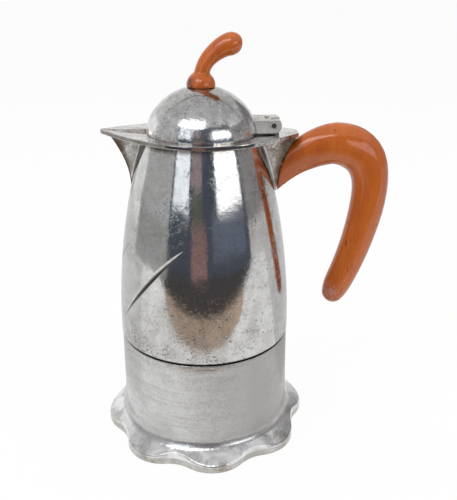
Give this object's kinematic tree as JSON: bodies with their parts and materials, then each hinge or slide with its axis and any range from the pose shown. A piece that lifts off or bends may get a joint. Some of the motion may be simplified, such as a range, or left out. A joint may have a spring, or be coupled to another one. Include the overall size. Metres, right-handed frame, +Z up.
{
  "type": "moka pot",
  "caption": "Stovetop moka pot with a scalloped boiler, screwed-on collector with a boat-shaped rim and spout, hinged dome lid, curved knob and side handle",
  "frame": {"origin": "on the pot's vertical axis, at the face that it stands on", "axes": "+Z up along the pot's axis, +X toward the handle, -X toward the spout, safety valve toward +Y"},
  "size_m": [0.1447, 0.1068, 0.202],
  "materials": {
    "boiler_aluminium": "satin cast aluminium with fine level scratches and a worn, grimy scalloped edge",
    "collector_aluminium": "polished aluminium, pitted and scratched by use, with grey patina and brown grime under the rim",
    "lid_aluminium": "polished aluminium dulled by use, with fine scratches",
    "column_aluminium": "plain cast aluminium",
    "funnel_aluminium": "drawn sheet, matt",
    "filter_aluminium": "pressed sheet, matt",
    "gasket_rubber": "off-white silicone rubber",
    "valve_brass": "turned brass, slightly tarnished",
    "insert_brass": "plain brass",
    "fibre_washer": "red vulcanised fibre",
    "spring_steel": "stainless spring wire",
    "pin_steel": "darkened steel",
    "screw_steel": "zinc-plated steel",
    "stained_wood": "orange-brown stained wood under glossy varnish, with dark flecks and worn spots"
  },
  "bodies": {
    "base": {"boiler": "boiler_aluminium", "valve_body": "valve_brass", "valve_washer": "fibre_washer", "valve_cap": "valve_brass", "valve_spring": "spring_steel", "funnel": "funnel_aluminium", "funnel_sieve": "funnel_aluminium"},
    "poppet": {"valve_poppet": "valve_brass"},
    "seal": {"gasket": "gasket_rubber", "filter_plate": "filter_aluminium"},
    "collector": {"collector": "collector_aluminium", "riser_column": "column_aluminium", "handle": "stained_wood", "handle_insert": "insert_brass", "handle_screw": "screw_steel", "handle_washer": "screw_steel"},
    "lid": {"lid": "lid_aluminium", "hinge_pin": "pin_steel", "knob": "stained_wood", "knob_insert": "insert_brass", "knob_screw": "screw_steel", "knob_washer": "screw_steel"}
  },
  "joints": [
    {"name": "valve_lift", "type": "slide", "parent": "base", "child": "poppet", "axis": [0, 1, 0], "range_m": [0, 0.0015], "stiffness_N_per_m": 1500, "springref_m": -0.001, "deforming": ["valve_spring"]},
    {"name": "thread_lift", "type": "slide", "parent": "base", "child": "seal", "axis": [0, 0, 1], "range_m": [0, 0.0083]},
    {"name": "unscrew", "type": "hinge", "parent": "seal", "child": "collector", "pos_m": [0, 0, 0.056], "axis": [0, 0, 1], "range_deg": [0, 990]},
    {"name": "lid_hinge", "type": "hinge", "parent": "collector", "child": "lid", "pos_m": [0.0334, 0, 0.1611], "axis": [0, 1, 0], "range_deg": [0, 100]}
  ],
  "couplings": [
    {"joint": "thread_lift", "follows": "unscrew", "m_per_rad": 0.00047746}
  ]
}
